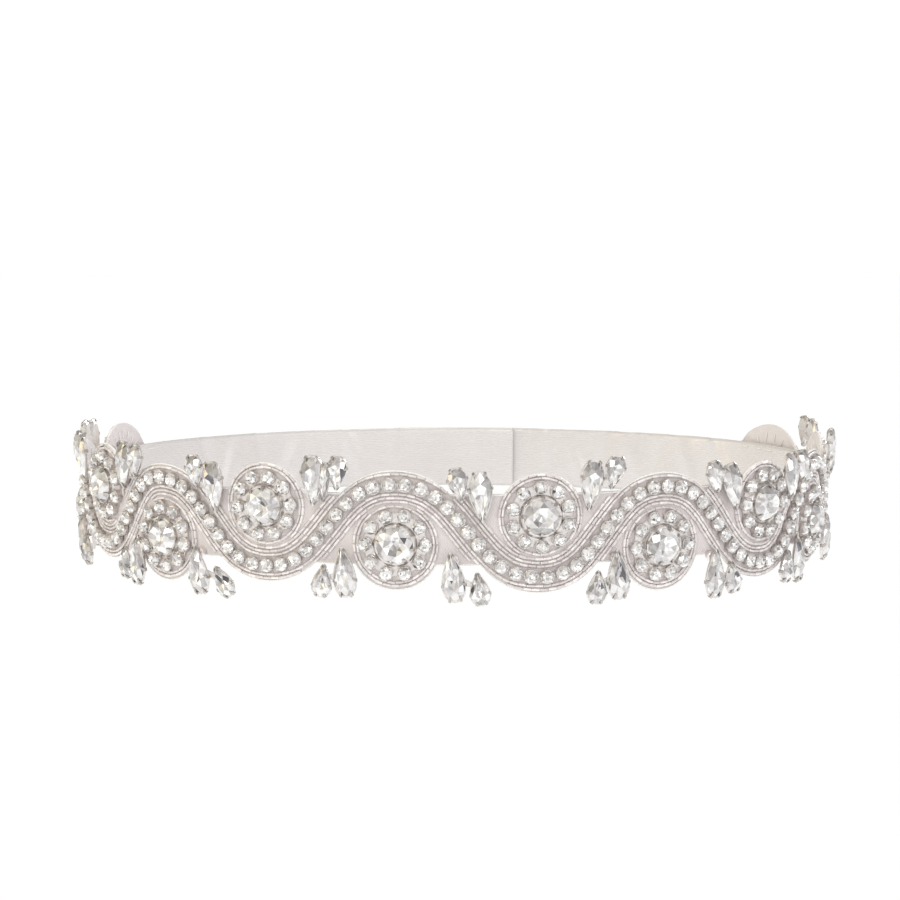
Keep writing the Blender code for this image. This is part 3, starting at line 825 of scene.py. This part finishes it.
def cloth_sheet(name, columns, rows, spot, look, replaced):
    """A thin two-sided sheet. The spot rule places a point of its outer face from its shares."""
    shape = Shape()
    points = [spot(i / columns, j / rows) for i in range(columns + 1) for j in range(rows + 1)]
    stride = rows + 1
    faces = [(i * stride + j, (i + 1) * stride + j, (i + 1) * stride + j + 1, i * stride + j + 1)
             for i in range(columns) for j in range(rows)]
    shape.add(points, faces, 0, smooth=True)
    obj = shape.piece(name, [look], replaced)
    wall = obj.modifiers.new("wall", "SOLIDIFY")
    wall.thickness = CLOTH_WALL * MM
    wall.offset = -1.0
    return obj


def smooth_step(value):
    """0 up to 0, 1 from 1, and smooth between them."""
    value = min(max(value, 0.0), 1.0)
    return value * value * (3.0 - 2.0 * value)


# Soft creases of the ribbon: middle along the band, lean, half width, depth (below 0 for a ridge), and
# the edge that they run out from (1 for the upper one)
CREASES = (
    (220.0, 0.55, 2.2, 0.62, 1.0),
    (229.0, -0.2, 2.0, -0.5, -1.0),
    (236.5, 0.35, 2.4, 0.75, 1.0),
    (248.0, -0.3, 2.1, -0.55, -1.0),
    (257.0, 0.25, 2.6, 0.85, 1.0),
    (268.0, -0.25, 2.2, -0.45, 1.0),
    (277.0, 0.4, 2.4, 0.65, -1.0),
    (288.0, 0.1, 1.8, 0.45, 1.0),
    (-221.0, -0.45, 2.3, 0.6, -1.0),
    (-231.0, 0.25, 2.1, -0.55, 1.0),
    (-240.0, -0.3, 2.5, 0.85, -1.0),
    (-252.0, 0.2, 2.2, -0.5, 1.0),
    (-262.0, -0.4, 2.4, 0.7, -1.0),
    (-274.0, 0.25, 2.0, -0.4, -1.0),
    (-285.0, 0.35, 2.5, 0.65, 1.0),
    (-298.0, -0.1, 2.0, 0.4, 1.0),
    (-150.0, 0.2, 6.0, 0.15, 1.0),
    (150.0, -0.2, 6.0, 0.15, -1.0),
    (60.0, 0.25, 7.0, 0.12, 1.0),
    (-60.0, -0.25, 7.0, 0.12, -1.0),
)


def ribbon_piece(look):
    """The satin ribbon, whose ends lap at the back."""
    half = 0.5 * (ROUND_WAIST + LAP)
    climb_start = 0.5 * (ROUND_WAIST - LAP) - LAP_RAMP

    def spot(u, v):
        along = half * (2.0 * u - 1.0)
        up = RIBBON_WIDTH * (v - 0.5)
        out = RIBBON_FACE + smooth_step((along - climb_start) / LAP_RAMP) * (RIBBON_WALL + GAP)
        for middle, lean, reach, depth, end in CREASES:
            off = (along - middle - lean * up) / reach
            out -= depth * math.exp(-off * off) * smooth_step(0.5 + end * up / RIBBON_WIDTH + 0.2)
        out += 0.15 * math.sin(0.21 * along + 0.3 * up) * (2.0 * abs(v - 0.5)) ** 3
        return along, up, out

    return cloth_sheet("satin_ribbon", 840, 16, spot, look, ["ribbon"])


def net_piece(look):
    """The net, puckered, with its edges drawn in."""
    start, end = band_ends()

    def spot(u, v):
        along = start + u * (end - start)
        low, high = net_edge(along, -1), net_edge(along, 1)
        up = low + v * (high - low)
        edge = min(v, 1.0 - v) * (high - low)
        pucker = 0.5 * math.sin(1.9 * along + 1.3 * up) + 0.5 * math.sin(0.83 * along - 1.7 * up)
        out = NET_FRONT - 0.06 + 0.05 * pucker - 0.12 * max(0.0, 1.0 - edge / 1.5)
        return along, up, out

    return cloth_sheet("net_sheet", 640, 40, spot, look, ["net_ground"])


def tube(shape, path, radius, sides):
    """A round thread along flat points."""
    path = np.asarray(path, float)
    ahead = np.gradient(path, axis=0)
    ahead /= np.linalg.norm(ahead, axis=1)[:, None]
    guide = np.where(np.abs(ahead[:, 2:3]) < 0.9, (0.0, 0.0, 1.0), (1.0, 0.0, 0.0))
    first = np.cross(ahead, guide)
    first /= np.linalg.norm(first, axis=1)[:, None]
    second = np.cross(ahead, first)
    turns = 2.0 * np.pi * np.arange(sides) / sides
    points = (path[:, None, :] + radius * (np.cos(turns)[None, :, None] * first[:, None, :]
              + np.sin(turns)[None, :, None] * second[:, None, :])).reshape(-1, 3)
    shape.add(points, tube_faces(len(path), sides), 0, smooth=True)


def stitch(shape, start, end, rise):
    """One hand stitch that comes up, lies on the cloth and goes down again."""
    start, end = np.array(start, float), np.array(end, float)
    path = [start + s * (end - start) + np.array((0.0, 0.0, rise * (4.0 * s * (1.0 - s)) ** 0.5))
            for s in np.linspace(0.0, 1.0, 7)]
    tube(shape, path, STITCH_RADIUS, 6)


def spoke(shape, rosette, turn, reaches, level):
    """A stitch on the net's inner face that points at a rosette's middle."""
    stitch(shape, *((rosette.along + r * math.cos(turn), rosette.up + r * math.sin(turn), level)
                    for r in reaches), INNER_STITCH)


def net_edge_thread(look):
    """A thread couched along both scalloped edges of the net."""
    shape = Shape()
    start, end = band_ends()
    xs = np.linspace(start + 0.4, end - 0.4, 900)
    for side in (1, -1):
        path = [(x, net_edge(x, side) - side * 0.12, NET_FRONT - 0.1) for x in xs]
        tube(shape, path, 0.24, 6)
    return shape.piece("net_edge_thread", [look])


def stone_threads(look):
    """On the net's inner face, the stitches that hold its stones."""
    shape = Shape()
    inner = NET_FRONT - CLOTH_WALL - 0.16
    total = path_length(CHAIN_LINE)[-1]
    places, ahead = along_path(CHAIN_LINE, np.arange(0.5 * CHAIN_PITCH, total, CHAIN_PITCH))
    for (x, y), (ax, ay) in zip(places, ahead):
        half = CHANCE.uniform(1.1, 1.5)
        slant = vary(0.3)
        stitch(shape, (x - half * (ay + slant * ax), y + half * (ax - slant * ay), inner),
               (x + half * (ay + slant * ax), y - half * (ax - slant * ay), inner), INNER_STITCH)
    for rosette in ROSETTES:
        for k in range(2 * RING_STONES):
            turn = math.pi * (k + vary(0.2)) / RING_STONES
            spoke(shape, rosette, turn, np.array(RING_STITCH) + vary(0.3), inner)
        for k in range(8):
            spoke(shape, rosette, math.pi * (k + vary(0.15)) / 4.0, CENTRE_STITCH, inner)
    return shape.piece("stone_threads", [look])


def sewing(look):
    """Running stitches through the ribbon's inner face that hold the net, and those that close the lap."""
    shape = Shape()
    start, end = band_ends()
    inner = 0.12
    pitch, length = 6.4, 3.4
    for up in (-7.9, 7.9):
        for x in np.arange(start + 3.0, end - 5.0, pitch):
            shift = vary(0.5)
            lift = up + vary(0.2)
            stitch(shape, (x + shift, lift, inner), (x + shift + length, lift + vary(0.2), inner), -0.16)
    lap_end = 0.5 * (ROUND_WAIST + LAP)
    outer = RIBBON_FACE + RIBBON_WALL + GAP
    # over the ribbon's end
    for up in np.linspace(-8.4, 8.4, 9):
        slant = CHANCE.uniform(0.5, 0.9)
        stitch(shape, (lap_end - 1.9, up - slant, outer), (lap_end + 0.9, up + slant, outer - 1.2), 0.5)
    # along both edges of the lap
    sunk = outer - 0.05
    line, pitch, length = 8.2, 3.3, 1.7
    for side in (-1.0, 1.0):
        for x in np.arange(lap_end - LAP + 3.0, lap_end - 4.0, pitch):
            stitch(shape, (x, side * line, sunk), (x + length, side * (line + vary(0.15)), sunk), 0.22)
    return shape.piece("hand_stitches", [look])


# ---- studio

# name, place, size (m), power (W), and colour where it isn't white
LIGHTS = (
    ("key", (-0.45, -1.7, 1.3), (0.6, 0.6), 4.5),
    ("fill", (1.3, -1.3, 0.5), (0.5, 0.9), 1.6),
    ("top", (0.1, 0.2, 1.8), (1.0, 0.8), 4.0),
    ("back", (0.9, 1.6, 0.6), (0.35, 0.35), 8.0),
    ("warm", (-1.8, -0.25, 0.35), (0.7, 0.7), 3.0, (1.0, 0.80, 0.50)),
    ("sparkle", (-0.25, -1.7, 0.35), (0.14, 0.14), 1.0),
)
FLOOR_HALF = 60.0
FLOOR_LEVEL = -1.0
CAMERA_AWAY = 1.0
CAMERA_ELEVATION = math.radians(7.0)
LENS = 130.66
SHIFT = (-0.0044, 0.0433)
KEY_DIRECTION = (-0.05, -0.65, 0.76)
# the panels that glossy surfaces mirror: where a dark one ends and a light one starts, and their colours
PANELS = ((0.40, (0.50, 0.485, 0.49, 1.0)), (0.58, (1.0, 0.99, 0.975, 1.0)))
# the room's tint on the left, as light and as mirrored, and on the right
LEFT_TINTS = ((1.0, 0.983, 0.87, 1.0), (0.85, 0.80, 0.67, 1.0))
RIGHT_TINT = (0.985, 0.98, 0.985, 1.0)


def studio_world():
    """A white room: seen white, brighter from above in front, and mirrored as soft panels."""
    world = bpy.data.worlds.new("studio")
    bpy.context.scene.world = world
    world.use_nodes = True
    tree = world.node_tree
    tree.nodes.clear()

    def add(kind, *inputs, **settings):
        made = tree.nodes.new(kind)
        for name, value in settings.items():
            setattr(made, name, value)
        for socket, value in zip(made.inputs, inputs):
            if isinstance(value, bpy.types.NodeSocket):
                tree.links.new(value, socket)
            elif value is not None:
                socket.default_value = value
        return made

    def scaled(value, factor, offset, **settings):
        return add("ShaderNodeMath", value, factor, offset, operation="MULTIPLY_ADD", **settings).outputs[0]

    direction = add("ShaderNodeTexCoord").outputs["Generated"]
    ray = add("ShaderNodeLightPath").outputs
    key = add("ShaderNodeVectorMath", direction, KEY_DIRECTION, operation="DOT_PRODUCT").outputs["Value"]
    noise = add("ShaderNodeTexNoise", direction)
    noise.inputs["Scale"].default_value = 2.6
    noise.inputs["Detail"].default_value = 1.0
    panels = add("ShaderNodeValToRGB", noise.outputs["Fac"])
    for element, (position, colour) in zip(panels.color_ramp.elements, PANELS):
        element.position = position
        element.color = colour
    parts = add("ShaderNodeSeparateXYZ", direction).outputs
    rightness = scaled(parts["X"], 1.0, 0.75, use_clamp=True)
    tints = []
    for left in LEFT_TINTS:
        tints.append(add("ShaderNodeMix", data_type="RGBA"))
        tree.links.new(rightness, tints[-1].inputs[0])
        tints[-1].inputs[6].default_value = left
        tints[-1].inputs[7].default_value = RIGHT_TINT
    tinted = add("ShaderNodeMix", data_type="RGBA", blend_type="MULTIPLY")
    tinted.inputs[0].default_value = 1.0
    tree.links.new(panels.outputs["Color"], tinted.inputs[6])
    tree.links.new(tints[1].outputs[2], tinted.inputs[7])
    light = add("ShaderNodeBackground", tints[0].outputs[2], scaled(key, 0.52, 0.71))
    mirrored = add("ShaderNodeBackground", tinted.outputs[2], scaled(parts["Y"], -0.14, 0.86))
    seen = add("ShaderNodeBackground", (1.0, 1.0, 1.0, 1.0), 1.06)
    lit = add("ShaderNodeMixShader", ray["Is Glossy Ray"], light.outputs[0], mirrored.outputs[0])
    whole = add("ShaderNodeMixShader", ray["Is Camera Ray"], lit.outputs[0], seen.outputs[0])
    add("ShaderNodeOutputWorld", whole.outputs[0])


def soft_light(name, place, size, power, colour=(1.0, 1.0, 1.0)):
    light = bpy.data.lights.new(name, "AREA")
    light.shape = "RECTANGLE"
    light.size, light.size_y = size
    light.energy = power
    light.color = colour
    obj = new_object(name, light)
    obj.location = place
    obj.rotation_euler = (-Vector(place)).to_track_quat("-Z", "Y").to_euler()


def floor():
    """A plain pale floor."""
    g = Graph("floor_paint")
    tone = g.noise(g.place(), 3.0)
    g.set(base_color=g.ramp(tone, ((0.3, (0.95, 0.96, 0.98)), (0.7, (0.97, 0.98, 1.0)))), roughness=0.95)
    g.set(emission_color=(0.86, 0.92, 1.0, 1.0), emission_strength=0.12)
    mesh = bpy.data.meshes.new("floor")
    corners = [(x * FLOOR_HALF, y * FLOOR_HALF, FLOOR_LEVEL) for x, y in ((-1, -1), (1, -1), (1, 1), (-1, 1))]
    mesh.from_pydata(corners, [], [(0, 1, 2, 3)])
    mesh.materials.append(g.material)
    obj = new_object("floor", mesh)


def camera():
    data = bpy.data.cameras.new("camera")
    data.lens = LENS
    data.sensor_width = 36.0
    data.shift_x, data.shift_y = SHIFT
    obj = new_object("camera", data)
    obj.location = (0.0, -CAMERA_AWAY * math.cos(CAMERA_ELEVATION), CAMERA_AWAY * math.sin(CAMERA_ELEVATION))
    obj.rotation_euler = (math.pi / 2.0 - CAMERA_ELEVATION, 0.0, 0.0)
    data.clip_end = 20.0
    bpy.context.scene.camera = obj


def studio():
    studio_world()
    floor()
    for light in LIGHTS:
        soft_light(*light)
    camera()
    bpy.context.scene.view_settings.view_transform = "Standard"


# ---- the sash

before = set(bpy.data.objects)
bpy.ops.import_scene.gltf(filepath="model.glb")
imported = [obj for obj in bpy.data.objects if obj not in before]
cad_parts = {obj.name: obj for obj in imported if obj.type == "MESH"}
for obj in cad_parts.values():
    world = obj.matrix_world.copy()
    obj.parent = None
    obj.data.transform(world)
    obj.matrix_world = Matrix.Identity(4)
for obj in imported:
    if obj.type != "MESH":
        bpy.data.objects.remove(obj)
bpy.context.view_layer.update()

STONE_LOOKS = [
    metal("setting_metal", (0.66, 0.625, 0.60), (0.83, 0.80, 0.775)),
    # lighter and darker copies of one glass for the facets: painted reflection
    crystal("crystal_painted_reflection_white", 0.91, (1.0, 0.99, 0.98)),
    crystal("crystal_painted_reflection_pale", 0.77, (1.0, 0.98, 0.97)),
    crystal("crystal_painted_reflection_soft", 0.62, (1.0, 0.965, 0.98)),
    crystal("crystal_painted_reflection_grey", 0.45, (1.0, 0.975, 0.96)),
    crystal("crystal_painted_reflection_deep", 0.14, (0.95, 0.9, 1.0)),
    # the claws: the same rhodium, darkened with painted shade
    metal("claw_metal_painted_shade", (0.42, 0.395, 0.37), (0.60, 0.57, 0.545)),
    metal("plate_metal", (0.73, 0.685, 0.67), (0.88, 0.845, 0.83)),
]
# One glass in three copies, given to the beads at random: plain, lightened as a painted glint and darkened as
# painted shade
BEAD_LOOKS = [
    bead_glass("bead_clear", (0.77, 0.72, 0.71), (0.70, 0.65, 0.64)),
    bead_glass("bead_painted_glint", (0.92, 0.875, 0.865), (0.80, 0.755, 0.745)),
    bead_glass("bead_painted_shade", (0.71, 0.66, 0.65), (0.64, 0.585, 0.575)),
]
thread = thread_look()

ribbon = ribbon_piece(satin())
net_sheet = net_piece(net())
sewn_on_net = [chain_piece(), *bead_pieces(), net_edge_thread(thread), stone_threads(thread)]
sewn_on_net += [rosette_piece(number, rosette) for number, rosette in enumerate(ROSETTES, start=1)]
sewn_on_net += cluster_pieces()
stitches = sewing(thread)

start, end = band_ends()
net_area = float(np.mean([net_edge(x, 1) - net_edge(x, -1) for x in np.linspace(start, end, 2001)])
                 * (end - start)) * MM * MM

studio()
